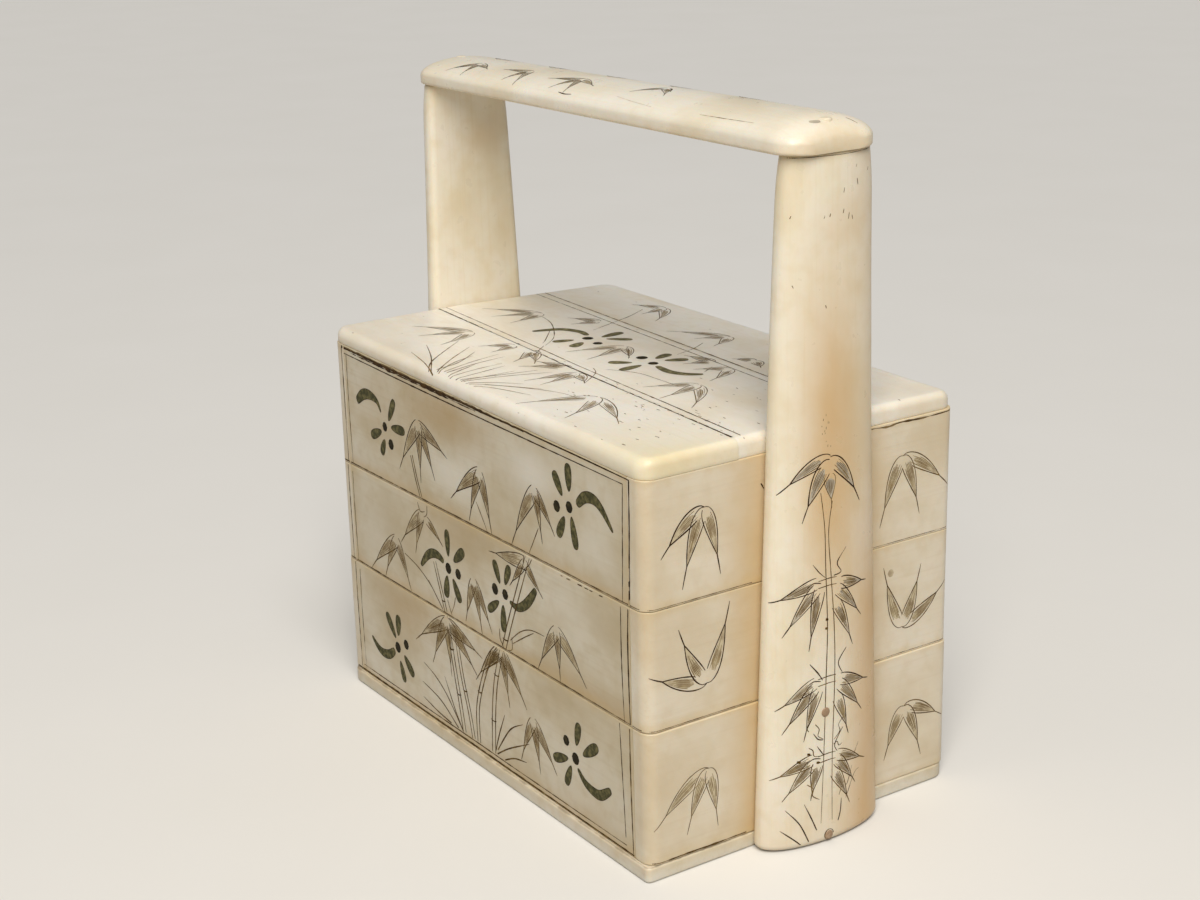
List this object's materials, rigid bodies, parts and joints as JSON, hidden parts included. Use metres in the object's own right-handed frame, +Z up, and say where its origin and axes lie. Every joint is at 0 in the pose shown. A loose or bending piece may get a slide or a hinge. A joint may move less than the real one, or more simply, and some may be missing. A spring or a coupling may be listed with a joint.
{
  "type": "jewelry box",
  "caption": "Stacking jewelry box of cream bone slabs with lift-off tiers, a seamed lid and a fixed carrying handle, engraved with bamboo sprigs and flowers.",
  "frame": {"origin": "middle of the underside of the base plate, on the surface the box stands on", "axes": "+Z up, +X along the box from its left end to its right end, -Y out of the front wall"},
  "size_m": [0.134, 0.076, 0.14],
  "materials": {
    "wall_bone": "satin polished bone",
    "lid_bone": "satin polished bone",
    "handle_bone": "satin polished bone",
    "base_bone": "satin polished bone",
    "inner_bone": "plain sawn bone",
    "peg_bone": "stained bone"
  },
  "bodies": {
    "base_and_handle": {"base_plate": "base_bone", "bottom_front_wall": "wall_bone", "bottom_back_wall": "wall_bone", "bottom_left_end": "wall_bone", "bottom_right_end": "wall_bone", "left_upright": "handle_bone", "right_upright": "handle_bone", "handle_bar": "handle_bone", "left_upper_peg": "peg_bone", "left_lower_peg": "peg_bone", "left_bar_peg": "peg_bone", "right_upper_peg": "peg_bone", "right_lower_peg": "peg_bone", "right_bar_peg": "peg_bone"},
    "middle_tier": {"middle_front_wall": "wall_bone", "middle_back_wall": "wall_bone", "middle_left_end": "wall_bone", "middle_right_end": "wall_bone", "middle_floor": "inner_bone"},
    "top_tier": {"top_front_wall": "wall_bone", "top_back_wall": "wall_bone", "top_left_end": "wall_bone", "top_right_end": "wall_bone", "top_floor": "inner_bone"},
    "lid": {"lid_front_strip": "lid_bone", "lid_middle_strip": "lid_bone", "lid_back_strip": "lid_bone", "lid_left_batten": "inner_bone", "lid_right_batten": "inner_bone"}
  },
  "joints": [
    {"name": "middle_tier_lift", "type": "slide", "parent": "base_and_handle", "child": "middle_tier", "axis": [0, 0, 1], "range_m": [0, 0.0165]},
    {"name": "top_tier_lift", "type": "slide", "parent": "middle_tier", "child": "top_tier", "axis": [0, 0, 1], "range_m": [0, 0.0165]},
    {"name": "lid_lift", "type": "slide", "parent": "top_tier", "child": "lid", "axis": [0, 0, 1], "range_m": [0, 0.0165]}
  ]
}
